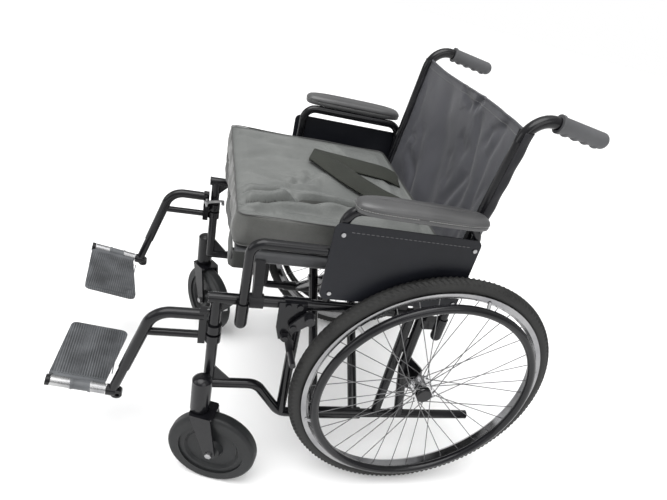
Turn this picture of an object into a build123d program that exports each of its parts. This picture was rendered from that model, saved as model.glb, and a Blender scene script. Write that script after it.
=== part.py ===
from build123d import *
import math
import os

os.makedirs("parts", exist_ok=True)

# ---------------------------------------------------------------------------
# Folding manual wheelchair.  Millimetres, +Z up, the front of the chair
# faces -Y and the sitter's left-hand side is +X.  The origin is the centre of
# the footprint on the floor.
# ---------------------------------------------------------------------------

AX = 237.46           # y of the rear axle
AXLE_Z = 305.0        # rear axle height = rear wheel radius
FRAME_X = 269.0       # centre plane of each side frame
TUBE_R = 11.1         # main frame tube, 22.2 mm outside diameter
TUBE_IN = 9.5         # its bore
UP_Z = 479.0          # upper side rail
LOW_Z = 169.0         # lower side rail
POST_Y = -468.0       # front post
CASTER_Y = -481.0     # caster stem
CASTER_X = 299.0
CANE_Y = -38.0        # back cane below the seat

WHEEL_X = 323.5       # middle plane of the rear wheel
WHEEL_R = 305.0
TYRE_R = 17.25        # tyre section radius
HANDRIM_X = 352.5
HANDRIM_R = 251.3
HANDRIM_TUBE = 9.5

CASTER_R = 100.0
CASTER_W = 32.0
CASTER_TRAIL = 38.0
SWIVEL_LEFT = -20.0   # stored swivel angles of the two casters
SWIVEL_RIGHT = -58.0

SEAT_RAIL_X = 240.0
PIVOT_Z = 376.7       # scissor pivot on the centre plane
ALPHA = math.degrees(math.atan2(PIVOT_Z - LOW_Z, FRAME_X))
SEAT_RAIL_Z = LOW_Z + (FRAME_X + SEAT_RAIL_X) * math.tan(math.radians(ALPHA))

ARM_X = 291.5
ARM_R = 9.5
PAD_X = 314.0


def P(x, y, z):
    """Point given with y measured from the rear axle."""
    return (x, y + AX, z)


def tube(points, radii, r, mode=Mode.ADD):
    """Round bar of radius r along straight runs joined by tangent arcs."""
    with BuildLine(mode=Mode.PRIVATE) as route:
        if len(points) > 2:
            FilletPolyline(*points, radius=radii)
        else:
            Line(*points)
    path = route.line
    with BuildSketch(Plane(origin=path @ 0, z_dir=path % 0), mode=Mode.PRIVATE) as ring:
        Circle(r)
    sweep(sections=ring.sketch, path=path, mode=mode)


def bar(a, b, r, mode=Mode.ADD):
    """Straight round bar from a to b."""
    direction = Vector(*b) - Vector(*a)
    with BuildSketch(Plane(origin=a, z_dir=direction), mode=Mode.PRIVATE) as ring:
        Circle(r)
    extrude(ring.sketch, amount=direction.length, mode=mode)


def plate(points, x0, x1, mode=Mode.ADD):
    """Flat plate in the YZ plane between x0 and x1, outline given as (y, z)."""
    with BuildSketch(Plane(origin=(x0, 0, 0), x_dir=(0, 1, 0), z_dir=(1, 0, 0)), mode=Mode.PRIVATE) as face:
        with BuildLine():
            Polyline(*[(y + AX, z) for y, z in points], close=True)
        make_face()
    extrude(face.sketch, amount=x1 - x0, mode=mode)


def ring_x(y, z, r_out, r_in, x0, x1, mode=Mode.ADD):
    """Washer or disc about an axis parallel to X."""
    with BuildSketch(Plane(origin=P(x0, y, z), x_dir=(0, 1, 0), z_dir=(1, 0, 0)), mode=Mode.PRIVATE) as face:
        Circle(r_out)
        if r_in > 0:
            Circle(r_in, mode=Mode.SUBTRACT)
    extrude(face.sketch, amount=x1 - x0, mode=mode)


def ring_z(x, y, r_out, r_in, z0, z1, mode=Mode.ADD):
    """Washer or disc about a vertical axis."""
    with BuildSketch(Plane(origin=P(x, y, z0)), mode=Mode.PRIVATE) as face:
        Circle(r_out)
        if r_in > 0:
            Circle(r_in, mode=Mode.SUBTRACT)
    extrude(face.sketch, amount=z1 - z0, mode=mode)


def ring_y(x, z, r_out, r_in, y0, y1, mode=Mode.ADD):
    """Washer or disc about an axis parallel to Y."""
    with BuildSketch(Plane(origin=P(x, y0, z), x_dir=(1, 0, 0), z_dir=(0, 1, 0)), mode=Mode.PRIVATE) as face:
        Circle(r_out)
        if r_in > 0:
            Circle(r_in, mode=Mode.SUBTRACT)
    extrude(face.sketch, amount=y1 - y0, mode=mode)


def block(x0, x1, y0, y1, z0, z1, mode=Mode.ADD):
    """Axis-aligned block between two corners, y measured from the rear axle."""
    with Locations(P((x0 + x1) / 2, (y0 + y1) / 2, (z0 + z1) / 2)):
        Box(x1 - x0, y1 - y0, z1 - z0, mode=mode)


def save(piece, name):
    piece.part.label = name
    export_step(piece.part, "parts/" + name + ".step")


X = FRAME_X

# ---------------------------------------------------------------------------
# Side frame: one welded loop of tube with its caster housing, axle boss,
# arm sockets and gussets.
# ---------------------------------------------------------------------------

UPPER_RAIL = ([P(X, -484, UP_Z), P(X, CANE_Y, UP_Z)], None)
FRONT_POST = ([P(X, POST_Y, 257), P(X, POST_Y, UP_Z)], None)
LOWER_RAIL = (
    [P(X, POST_Y, 257), P(X, -366, 257), P(X, -303, LOW_Z), P(X, 60, LOW_Z)],
    [38, 38],
)
MID_POST = ([P(X, -300, LOW_Z), P(X, -307, UP_Z)], None)
REAR_POST = ([P(X, -65, LOW_Z), P(X, -65, UP_Z)], None)
CANE = (
    [
        P(X, -2, LOW_Z),
        P(X, CANE_Y, 330),
        P(X, CANE_Y, 530),
        P(X, -12, 592),
        P(X, 22, 914),
        P(X, 167, 896.5),
    ],
    [60, 60, 60, 50],
)

with BuildPart() as side_frame_left:
    for pts, radii in (UPPER_RAIL, FRONT_POST, LOWER_RAIL, MID_POST, REAR_POST, CANE):
        tube(pts, radii, TUBE_R)
    # rounded weld where the front post meets the lower rail
    with Locations(P(X, POST_Y, 257)):
        Sphere(TUBE_R)
    # caster housing with a domed top
    ring_z(CASTER_X, CASTER_Y, 20.5, 0, 212, 292)
    with Locations(P(CASTER_X, CASTER_Y, 292)):
        with BuildSketch(Plane(origin=P(CASTER_X, CASTER_Y, 292), x_dir=(1, 0, 0), z_dir=(0, -1, 0)), mode=Mode.PRIVATE) as dome:
            with BuildLine():
                Line((0, 0), (20.5, 0))
                ThreePointArc((20.5, 0), (14.5, 6.5), (0, 9.5))
                Line((0, 9.5), (0, 0))
            make_face()
    revolve(dome.sketch, axis=Axis(P(CASTER_X, CASTER_Y, 0), (0, 0, 1)))
    # web between post and housing
    block(X + 7, CASTER_X - 10, -480, -470, 224, 288)
    # gussets: front lower corner, upper front corner
    plate([(-464, 312), (-464, 262), (-418, 262)], X - 2.5, X + 2.5)
    plate([(-458, 474), (-458, 446), (-430, 474)], X - 2.5, X + 2.5)
    # axle boss and its side plate
    ring_x(0, AXLE_Z, 15, 0, 258, 292)
    plate(
        [(-46, 352), (-22, 352), (12, 322), (17, 305), (12, 288), (-2, 262), (-34, 262)],
        X - 4,
        X + 4,
    )
    # cane tied to the rear post by a weld plate above and below
    plate([(-66, 372), (-38, 372), (-38, 410), (-66, 410)], X - 3, X + 3)
    plate([(-66, 484), (-38, 484), (-38, 498), (-66, 498)], X - 3, X + 3)
    # sockets for the armrest legs
    ring_z(ARM_X, -421, 12.2, 0, 441, 487)
    ring_z(ARM_X, -2, 12.2, 0, 441, 487)
    with Locations(P(ARM_X, -421, 441), P(ARM_X, -2, 441)):
        Sphere(12.2)
    block(X, ARM_X, -40, 2, 455, 476)
    # sockets in the open ends of the upper and lower rails
    ring_y(X, UP_Z, TUBE_IN, 0, -486, -470, Mode.SUBTRACT)
    # stem bore, axle bore, arm sockets
    ring_z(CASTER_X, CASTER_Y, 8.06, 0, 211, 284, Mode.SUBTRACT)
    ring_x(0, AXLE_Z, 6.41, 0, 250, 300, Mode.SUBTRACT)
    ring_z(ARM_X, -421, ARM_R + 0.3, 0, 440, 490, Mode.SUBTRACT)
    ring_z(ARM_X, -2, ARM_R + 0.3, 0, 440, 490, Mode.SUBTRACT)

# open rear end of the lower rail, with a snap-button hole near its mouth
with BuildPart() as rail_end_left:
    ring_y(X, LOW_Z, TUBE_R, 0, 60, 188)
    ring_y(X, LOW_Z, TUBE_IN, 0, 70, 190, Mode.SUBTRACT)
    ring_x(168, LOW_Z, 3.5, 0, X + 4, X + 14, Mode.SUBTRACT)

with BuildPart() as side_frame_right:
    mirror(side_frame_left.part, about=Plane.YZ)
with BuildPart() as rail_end_right:
    mirror(rail_end_left.part, about=Plane.YZ)

for frame_part, end_part, name in (
    (side_frame_left, rail_end_left, "side_frame_left"),
    (side_frame_right, rail_end_right, "side_frame_right"),
):
    pair = Compound(label=name, children=[frame_part.part.solid(), end_part.part.solid()])
    export_step(pair, "parts/" + name + ".step")

# ---------------------------------------------------------------------------
# Cradles on the upper rail, which carry the seat rail when the chair is open
# ---------------------------------------------------------------------------

with BuildPart() as seat_saddles_left:
    for y in (-395, -92):
        ring_y(X, UP_Z, 15.0, 0, y - 14, y + 14)
        block(X - 9, X + 9, y - 9, y + 9, UP_Z, 520)
        # arm that leans inboard and carries the cup
        with BuildSketch(Plane(origin=P(0, y - 9, 0), x_dir=(1, 0, 0), z_dir=(0, -1, 0)), mode=Mode.PRIVATE) as arm:
            with BuildLine():
                Polyline((X + 9, 500), (X + 9, 520), (SEAT_RAIL_X + 16, SEAT_RAIL_Z), (SEAT_RAIL_X - 16, SEAT_RAIL_Z), (SEAT_RAIL_X - 16, SEAT_RAIL_Z - 14), (X - 9, 500), close=True)
            make_face()
        extrude(arm.sketch, amount=-18)
    for y in (-395, -92):
        ring_y(X, UP_Z, TUBE_R + 0.02, 0, y - 20, y + 20, Mode.SUBTRACT)
        ring_y(SEAT_RAIL_X, SEAT_RAIL_Z, TUBE_R + 0.35, 0, y - 20, y + 20, Mode.SUBTRACT)

with BuildPart() as seat_saddles_right:
    mirror(seat_saddles_left.part, about=Plane.YZ)

save(seat_saddles_left, "seat_saddles_left")
save(seat_saddles_right, "seat_saddles_right")

# ---------------------------------------------------------------------------
# Push-handle grip, with four finger bumps underneath and a closed end
# ---------------------------------------------------------------------------

GRIP_A = Vector(*P(X, 76, 914 - 54 * 17.5 / 145))
GRIP_B = Vector(*P(X, 176, 914 - 154 * 17.5 / 145))
GRIP_DIR = (GRIP_B - GRIP_A).normalized()

with BuildPart() as push_grip_left:
    bar(tuple(GRIP_A), tuple(GRIP_B), 14.5)
    with Locations(tuple(GRIP_B)):
        Sphere(14.5)
    bar(tuple(GRIP_A), tuple(GRIP_A + GRIP_DIR * 6), 16.5)
    for k in range(4):
        c = GRIP_A + GRIP_DIR * (20 + 23.5 * k) + Vector(0, 0, -4.5)
        with Locations(tuple(c)):
            Sphere(12.6)
    bar(tuple(GRIP_A - GRIP_DIR * 2), P(X, 167.4, 896.45), TUBE_R + 0.03, Mode.SUBTRACT)

with BuildPart() as push_grip_right:
    mirror(push_grip_left.part, about=Plane.YZ)

save(push_grip_left, "push_grip_left")
save(push_grip_right, "push_grip_right")

# ---------------------------------------------------------------------------
# Rear wheel: tyre, rim, spokes, hub, hub cap, hand rim, axle bolt
# ---------------------------------------------------------------------------

WHEEL_AXIS = Axis(P(0, 0, AXLE_Z), (1, 0, 0))
WHEEL_PLANE = Plane(origin=P(0, 0, AXLE_Z), x_dir=(1, 0, 0), z_dir=(0, -1, 0))

with BuildPart() as tyre_left:
    with BuildSketch(WHEEL_PLANE):
        with Locations((WHEEL_X, WHEEL_R - TYRE_R)):
            Circle(TYRE_R)
            Circle(TYRE_R - 4.0, mode=Mode.SUBTRACT)
        with Locations((WHEEL_X, WHEEL_R - 2 * TYRE_R)):
            Rectangle(6, 16, mode=Mode.SUBTRACT)
    revolve(axis=WHEEL_AXIS)

with BuildPart() as rim_left:
    with BuildSketch(WHEEL_PLANE):
        with BuildLine():
            Polyline(
                (WHEEL_X - 16, 278.5),
                (WHEEL_X - 16, 268),
                (WHEEL_X - 9, 262),
                (WHEEL_X + 9, 262),
                (WHEEL_X + 16, 268),
                (WHEEL_X + 16, 278.5),
                close=True,
            )
        make_face()
        with Locations((WHEEL_X, WHEEL_R - TYRE_R)):
            Circle(TYRE_R + 0.05, mode=Mode.SUBTRACT)
    revolve(axis=WHEEL_AXIS)

with BuildPart() as hub_left:
    ring_x(0, AXLE_Z, 15.5, 0, 296, 339.4)
    ring_x(0, AXLE_Z, 26, 0, 302, 305)
    ring_x(0, AXLE_Z, 26, 0, 334, 337)
    ring_x(0, AXLE_Z, 19, 0, 296, 302)
    ring_x(0, AXLE_Z, 6.41, 0, 290, 345, Mode.SUBTRACT)

with BuildPart() as hub_cap_left:
    ring_x(0, AXLE_Z, 18, 0, 339.6, 345.5)
    fillet(hub_cap_left.edges().filter_by(GeomType.CIRCLE).sort_by(Axis.X)[-1], 2)
    ring_x(0, AXLE_Z, 9.5, 0, 339, 343.5, Mode.SUBTRACT)

# 36 laced spokes, two crossed sets from each hub flange to the rim
SPOKE_HUB_R = 22.0
SPOKE_RIM_R = 261.7
with BuildPart() as spokes_left:
    for side, x_flange, start in ((-1, 303.5, 0.0), (1, 335.5, 10.0)):
        for k in range(9):
            for sweep_way, x_off in ((60.0, 3.1), (-60.0, -3.1)):
                a0 = math.radians(40 * k + start + (0 if sweep_way > 0 else 20))
                a1 = a0 + math.radians(sweep_way)
                x0 = x_flange + side * x_off
                x1 = WHEEL_X + side * 3.0
                bar(
                    P(x0, SPOKE_HUB_R * math.cos(a0), AXLE_Z + SPOKE_HUB_R * math.sin(a0)),
                    P(x1, SPOKE_RIM_R * math.cos(a1), AXLE_Z + SPOKE_RIM_R * math.sin(a1)),
                    1.0,
                )

with BuildPart() as handrim_left:
    with Locations(P(HANDRIM_X, 0, AXLE_Z)):
        Torus(HANDRIM_R, HANDRIM_TUBE, rotation=(0, 90, 0))

# six short brackets welded between the rim wall and the hand rim
with BuildPart() as handrim_brackets_left:
    for k in range(6):
        a = math.radians(60 * k + 18)
        bar(
            P(WHEEL_X + 15.9, 270 * math.cos(a), AXLE_Z + 270 * math.sin(a)),
            P(HANDRIM_X - 5.0, 257.0 * math.cos(a), AXLE_Z + 257.0 * math.sin(a)),
            4.0,
        )

with BuildPart() as rear_axle_left:
    ring_x(0, AXLE_Z, 6.35, 0, 246, 341)
    # thin lock nut inboard and spacer washer between boss and hub
    with BuildSketch(Plane(origin=P(248, 0, AXLE_Z), x_dir=(0, 1, 0), z_dir=(1, 0, 0))):
        RegularPolygon(10.5, 6)
    extrude(amount=9.9)
    ring_x(0, AXLE_Z, 10, 0, 292.1, 295.9)
    # head inside the hub cap
    ring_x(0, AXLE_Z, 9.2, 0, 339.6, 343.2)

with BuildPart() as tyre_right:
    mirror(tyre_left.part, about=Plane.YZ)
with BuildPart() as rim_right:
    mirror(rim_left.part, about=Plane.YZ)
with BuildPart() as hub_right:
    mirror(hub_left.part, about=Plane.YZ)
with BuildPart() as hub_cap_right:
    mirror(hub_cap_left.part, about=Plane.YZ)
with BuildPart() as spokes_right:
    mirror(spokes_left.part, about=Plane.YZ)
with BuildPart() as handrim_right:
    mirror(handrim_left.part, about=Plane.YZ)
with BuildPart() as handrim_brackets_right:
    mirror(handrim_brackets_left.part, about=Plane.YZ)
with BuildPart() as rear_axle_right:
    mirror(rear_axle_left.part, about=Plane.YZ)

save(tyre_left, "tyre_left")
save(tyre_right, "tyre_right")
save(rim_left, "rim_left")
save(rim_right, "rim_right")
save(hub_left, "hub_left")
save(hub_right, "hub_right")
save(hub_cap_left, "hub_cap_left")
save(hub_cap_right, "hub_cap_right")
save(spokes_left, "spokes_left")
save(spokes_right, "spokes_right")
save(handrim_left, "handrim_left")
save(handrim_right, "handrim_right")
save(handrim_brackets_left, "handrim_brackets_left")
save(handrim_brackets_right, "handrim_brackets_right")
save(rear_axle_left, "rear_axle_left")
save(rear_axle_right, "rear_axle_right")

# ---------------------------------------------------------------------------
# Casters.  Each is drawn with its stem on the Z axis, trailing towards +Y,
# and then turned by its swivel angle about the stem.
# ---------------------------------------------------------------------------

with BuildPart() as caster_fork:
    # stem, thrust collar, crown
    with Locations((0, 0, 244)):
        Cylinder(8.0, 78)
    with Locations((0, 0, 209)):
        Cylinder(17, 5)
    with BuildSketch(Plane.XY.offset(203.5)):
        with Locations((0, 10)):
            RectangleRounded(56, 52, 10)
    extrude(amount=5)
    # two legs down to the wheel axle
    with BuildSketch(Plane(origin=(-27.5, 0, 0), x_dir=(0, 1, 0), z_dir=(1, 0, 0))):
        with BuildLine():
            Polyline((-14, 208.5), (32, 208.5), (CASTER_TRAIL + 13, 100), (CASTER_TRAIL - 13, 100), close=True)
        make_face()
        with Locations((CASTER_TRAIL, 100)):
            Circle(13)
    extrude(amount=5)
    with BuildSketch(Plane(origin=(22.5, 0, 0), x_dir=(0, 1, 0), z_dir=(1, 0, 0))):
        with BuildLine():
            Polyline((-14, 208.5), (32, 208.5), (CASTER_TRAIL + 13, 100), (CASTER_TRAIL - 13, 100), close=True)
        make_face()
        with Locations((CASTER_TRAIL, 100)):
            Circle(13)
    extrude(amount=5)
    with BuildSketch(Plane(origin=(-40, CASTER_TRAIL, 100), x_dir=(0, 1, 0), z_dir=(1, 0, 0))):
        Circle(4.05)
    extrude(amount=80, mode=Mode.SUBTRACT)

with BuildPart() as caster_tyre:
    with BuildSketch(Plane(origin=(0, CASTER_TRAIL, 100), x_dir=(1, 0, 0), z_dir=(0, -1, 0))):
        with Locations((0, (CASTER_R + 74) / 2)):
            Rectangle(CASTER_W, CASTER_R - 74)
    revolve(axis=Axis((0, CASTER_TRAIL, 100), (1, 0, 0)))
    fillet(caster_tyre.edges().filter_by(GeomType.CIRCLE).filter_by(lambda e: e.radius > 99), 9)

with BuildPart() as caster_hub:
    with BuildSketch(Plane(origin=(0, CASTER_TRAIL, 100), x_dir=(1, 0, 0), z_dir=(0, -1, 0))):
        with BuildLine():
            Polyline((-12, 73.98), (12, 73.98), (12, 62), (6, 56), (6, 26), (18.5, 20), (18.5, 4.1), (-18.5, 4.1), (-18.5, 20), (-6, 26), (-6, 56), (-12, 62), close=True)
        make_face()
    revolve(axis=Axis((0, CASTER_TRAIL, 100), (1, 0, 0)))

with BuildPart() as caster_axle:
    with BuildSketch(Plane(origin=(-33, CASTER_TRAIL, 100), x_dir=(0, 1, 0), z_dir=(1, 0, 0))):
        Circle(4.0)
    extrude(amount=66)
    with BuildSketch(Plane(origin=(-33, CASTER_TRAIL, 100), x_dir=(0, 1, 0), z_dir=(1, 0, 0))):
        RegularPolygon(8, 6)
    extrude(amount=5.4)
    with BuildSketch(Plane(origin=(27.6, CASTER_TRAIL, 100), x_dir=(0, 1, 0), z_dir=(1, 0, 0))):
        RegularPolygon(8, 6)
    extrude(amount=5.4)

LEFT_CASTER = Location(P(CASTER_X, CASTER_Y, 0), (0, 0, SWIVEL_LEFT))
RIGHT_CASTER = Location(P(-CASTER_X, CASTER_Y, 0), (0, 0, SWIVEL_RIGHT))

with BuildPart() as caster_fork_left:
    add(caster_fork.part.moved(LEFT_CASTER))
with BuildPart() as caster_fork_right:
    add(caster_fork.part.moved(RIGHT_CASTER))
with BuildPart() as caster_tyre_left:
    add(caster_tyre.part.moved(LEFT_CASTER))
with BuildPart() as caster_tyre_right:
    add(caster_tyre.part.moved(RIGHT_CASTER))
with BuildPart() as caster_hub_left:
    add(caster_hub.part.moved(LEFT_CASTER))
with BuildPart() as caster_hub_right:
    add(caster_hub.part.moved(RIGHT_CASTER))
with BuildPart() as caster_axle_left:
    add(caster_axle.part.moved(LEFT_CASTER))
with BuildPart() as caster_axle_right:
    add(caster_axle.part.moved(RIGHT_CASTER))

save(caster_fork_left, "caster_fork_left")
save(caster_fork_right, "caster_fork_right")
save(caster_tyre_left, "caster_tyre_left")
save(caster_tyre_right, "caster_tyre_right")
save(caster_hub_left, "caster_hub_left")
save(caster_hub_right, "caster_hub_right")
save(caster_axle_left, "caster_axle_left")
save(caster_axle_right, "caster_axle_right")

# ---------------------------------------------------------------------------
# Swing-away hanger, release lever, telescopic leg, flip-up footplate
# ---------------------------------------------------------------------------

HX = 265.0
LEG_TOP = Vector(*P(HX, -580, 434))
LEG_END = Vector(*P(262, -658, 217))
LEG_DIR = (LEG_END - LEG_TOP).normalized()
HANGER_END = LEG_TOP + LEG_DIR * 158
HINGE_A = Vector(*P(262, -665, 221))      # rear end of the footplate hinge rod
HINGE_DIR = Vector(0, -110, 23).normalized()
HINGE_N = Vector(0, 23, 110).normalized()

with BuildPart() as hanger_left:
    tube(
        [P(HX, -489, 434), tuple(LEG_TOP), tuple(HANGER_END)],
        [48],
        TUBE_R,
    )
    BRACE_END = LEG_TOP + LEG_DIR * 56
    tube([P(HX, -489, 384), (BRACE_END.X, BRACE_END.Y, 384)], None, 8.0)
    # hook plates and the two collars that turn on the front post
    plate([(-497, 368), (-483, 368), (-483, 446), (-497, 446)], HX - 9, HX + 9)
    for z0, z1 in ((398, 416), (374, 392)):
        ring_z(X, POST_Y, 15.5, 0, z0, z1)
    # lug with the pin hole of the release lever
    block(240.5, HX - 8, -496, -482, 400, 411.8)
    ring_z(247.5, -489, 3.25, 0, 398, 414, Mode.SUBTRACT)
    # bore of the leg socket, open at the bottom
    bar(
        tuple(LEG_TOP + LEG_DIR * 40),
        tuple(HANGER_END + LEG_DIR * 2),
        9.6,
        Mode.SUBTRACT,
    )
    for z0, z1 in ((396, 418), (372, 394)):
        ring_z(X, POST_Y, TUBE_R + 0.08, 0, z0, z1, Mode.SUBTRACT)
    # room for the post between and above the collars
    ring_z(X, POST_Y, TUBE_R + 0.9, 0, 360, 460, Mode.SUBTRACT)
    for z0, z1 in ((398, 416), (374, 392)):
        ring_z(X, POST_Y, 13.2, TUBE_R + 0.08, z0, z1)

with BuildPart() as hanger_lever_left:
    # pressed lever on a vertical pin beside the hook plate
    ring_z(247.5, -489, 7, 0, 424, 430)
    ring_z(247.5, -489, 3.2, 0, 400, 436)
    plate([(-492, 424), (-486, 424), (-444, 434), (-444, 438), (-452, 438), (-492, 430)], 244.5, 247.5)
    block(222, 246.5, -452, -444, 434, 438)

with BuildPart() as leg_tube_left:
    bar(
        tuple(HANGER_END - LEG_DIR * 92),
        tuple(LEG_END),
        9.52,
    )
    with Locations(tuple(LEG_END)):
        Sphere(9.52)
    # hinge rod of the footplate with a cap at its front end
    bar(tuple(HINGE_A - HINGE_DIR * 12), tuple(HINGE_A + HINGE_DIR * 112), 6.0)
    bar(tuple(HINGE_A + HINGE_DIR * 107), tuple(HINGE_A + HINGE_DIR * 115), 11.5)
    # cast knuckle at the bottom of the leg, with a bolt hole
    bar(tuple(HINGE_A - HINGE_DIR * 14), tuple(HINGE_A + HINGE_DIR * 4), 12.0)
    ring_x(-649, 214, 11, 0, 254, 270)
    ring_x(-647, 212, 4, 0, 250, 275, Mode.SUBTRACT)

FOOT = Plane(origin=tuple(HINGE_A), x_dir=(1, 0, 0), z_dir=tuple(HINGE_N))

with BuildPart() as footplate_left:
    # tread plate, skewed in plan, with cross ribs
    with BuildSketch(FOOT.offset(-5)):
        with BuildLine():
            Polyline((-8, -104), (-8, -9), (-17, -8), (-194, 18), (-190, -102), (-18, -113), (-17, -105), close=True)
        make_face()
        fillet(vertices().sort_by(Axis.X)[0:2], 14)
    extrude(amount=8)
    with BuildSketch(FOOT.offset(2.9)):
        for k in range(20):
            with Locations((-104, -96 + 5.1 * k)):
                Rectangle(166 if k < 18 else 120, 2.2)
    extrude(amount=1.6)
    # hinge barrel round the rod
    bar(tuple(HINGE_A + HINGE_DIR * 5), tuple(HINGE_A + HINGE_DIR * 106), 11.0)
    for d in (34, 68):
        bar(tuple(HINGE_A + HINGE_DIR * (d - 2.5)), tuple(HINGE_A + HINGE_DIR * (d + 2.5)), 12.3)
    # stiffening bar under the plate
    with BuildSketch(FOOT.offset(-11)):
        with Locations((-28, -56)):
            Rectangle(12, 92)
    extrude(amount=7)
    bar(tuple(HINGE_A - HINGE_DIR * 2), tuple(HINGE_A + HINGE_DIR * 120), 6.06, Mode.SUBTRACT)

with BuildPart() as hanger_right:
    mirror(hanger_left.part, about=Plane.YZ)
with BuildPart() as hanger_lever_right:
    mirror(hanger_lever_left.part, about=Plane.YZ)
with BuildPart() as leg_tube_right:
    mirror(leg_tube_left.part, about=Plane.YZ)
with BuildPart() as footplate_right:
    mirror(footplate_left.part, about=Plane.YZ)

save(hanger_left, "hanger_left")
save(hanger_right, "hanger_right")
save(hanger_lever_left, "hanger_lever_left")
save(hanger_lever_right, "hanger_lever_right")
save(leg_tube_left, "leg_tube_left")
save(leg_tube_right, "leg_tube_right")
save(footplate_left, "footplate_left")
save(footplate_right, "footplate_right")

# ---------------------------------------------------------------------------
# Push-to-lock wheel brake
# ---------------------------------------------------------------------------

LEVER_PIN = (-318.0, 440.0)      # y, z
SHOE_PIN = (-331.0, 412.0)

with BuildPart() as brake_bracket_left:
    ring_y(X, UP_Z, 14.2, 0, -342, -287)
    plate([(-352, 492), (-318, 492), (-306, 462), (-306, 430), (-322, 402), (-342, 402), (-350, 430)], 284, 288)
    block(X + 8, 288, -340, -296, 466, 492)
    ring_y(X, UP_Z, TUBE_R + 0.02, 0, -350, -280, Mode.SUBTRACT)
    bar(P(X, -300, LOW_Z), P(X, -307, UP_Z), TUBE_R + 0.02, Mode.SUBTRACT)
    # pins for the lever and the shoe arm, and two clamp bolt heads
    ring_x(LEVER_PIN[0], LEVER_PIN[1], 4.0, 0, 286, 302)
    ring_x(LEVER_PIN[0], LEVER_PIN[1], 6.5, 0, 299.2, 302)
    ring_x(SHOE_PIN[0], SHOE_PIN[1], 4.0, 0, 286, 302)
    ring_x(SHOE_PIN[0], SHOE_PIN[1], 6.5, 0, 299.2, 302)
    ring_x(-333, 484, 6.0, 0, 287, 292)
    ring_x(-310, 484, 6.0, 0, 287, 292)

with BuildPart() as brake_lever_left:
    # flat lever with a broad rounded pod at its end
    plate([(-326, 446), (-310, 432), (-284, 452), (-276, 464), (-280, 476), (-294, 480), (-312, 462)], 293, 299)
    fillet(brake_lever_left.edges().filter_by(Axis.X), 4)
    bar(P(296, -290, 466), P(312, -290, 466), 10)
    ring_x(LEVER_PIN[0], LEVER_PIN[1], 9.0, 0, 293, 299)
    ring_x(LEVER_PIN[0], LEVER_PIN[1], 4.06, 0, 280, 315, Mode.SUBTRACT)

with BuildPart() as brake_shoe_left:
    # curved arm down to a shoe bar beside the tyre
    plate([(-338, 420), (-324, 420), (-310, 400), (-306, 374), (-313, 366), (-321, 372), (-328, 398), (-338, 404)], 289, 292.6)
    ring_x(SHOE_PIN[0], SHOE_PIN[1], 8.0, 0, 289, 298.6)
    bar(P(290, -312.5, 374), P(338, -312.5, 374), 6.5)
    ring_x(SHOE_PIN[0], SHOE_PIN[1], 4.06, 0, 280, 315, Mode.SUBTRACT)

with BuildPart() as brake_bracket_right:
    mirror(brake_bracket_left.part, about=Plane.YZ)
with BuildPart() as brake_lever_right:
    mirror(brake_lever_left.part, about=Plane.YZ)
with BuildPart() as brake_shoe_right:
    mirror(brake_shoe_left.part, about=Plane.YZ)

save(brake_bracket_left, "brake_bracket_left")
save(brake_bracket_right, "brake_bracket_right")
save(brake_lever_left, "brake_lever_left")
save(brake_lever_right, "brake_lever_right")
save(brake_shoe_left, "brake_shoe_left")
save(brake_shoe_right, "brake_shoe_right")

# ---------------------------------------------------------------------------
# Removable desk-length armrest
# ---------------------------------------------------------------------------

ARM_FRONT = [P(ARM_X, -421, 443), P(ARM_X, -421, 618), P(ARM_X, -266, 618)]
ARM_LOOP = [
    P(ARM_X, -266, 512),
    P(ARM_X, -266, 706),
    P(ARM_X, -2, 706),
    P(ARM_X, -2, 443),
]

with BuildPart() as arm_frame_left:
    tube(ARM_FRONT, [26], ARM_R)
    tube(ARM_LOOP, [32, 32], ARM_R)
    # lower cross strip behind the skirt panel
    block(ARM_X - 3, ARM_X + 3, -266, -2, 526, 546)
    # open leg ends
    for y in (-421, -2):
        ring_z(ARM_X, y, ARM_R - 1.5, 0, 440, 500, Mode.SUBTRACT)

with BuildPart() as arm_panel_left:
    block(301.2, 303.8, -284, 8, 520, 682)
    fillet(arm_panel_left.edges().filter_by(Axis.X), 14)

with BuildPart() as arm_screws_left:
    for y, z in ((-266, 660), (-266, 534), (-2, 660), (-2, 534)):
        ring_x(y, z, 4.2, 0, 303.9, 305.9)
    for y in (-222, -46):
        ring_z(ARM_X + 14, y, 4.0, 0, 709, 715.7)

with BuildPart() as arm_pad_left:
    with BuildSketch(Plane(origin=P(PAD_X, -134, 715.9))):
        RectangleRounded(58, 257, 20)
    extrude(amount=26)
    fillet(arm_pad_left.faces().sort_by(Axis.Z)[-1].edges(), 11)

with BuildPart() as arm_frame_right:
    mirror(arm_frame_left.part, about=Plane.YZ)
with BuildPart() as arm_panel_right:
    mirror(arm_panel_left.part, about=Plane.YZ)
with BuildPart() as arm_screws_right:
    mirror(arm_screws_left.part, about=Plane.YZ)
with BuildPart() as arm_pad_right:
    mirror(arm_pad_left.part, about=Plane.YZ)

save(arm_frame_left, "arm_frame_left")
save(arm_frame_right, "arm_frame_right")
save(arm_panel_left, "arm_panel_left")
save(arm_panel_right, "arm_panel_right")
save(arm_screws_left, "arm_screws_left")
save(arm_screws_right, "arm_screws_right")
save(arm_pad_left, "arm_pad_left")
save(arm_pad_right, "arm_pad_right")

# ---------------------------------------------------------------------------
# Folding cross brace.  Each half is a sleeve that turns on a lower rail, two
# tubes across the chair and the seat rail on the other side.
# ---------------------------------------------------------------------------

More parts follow.
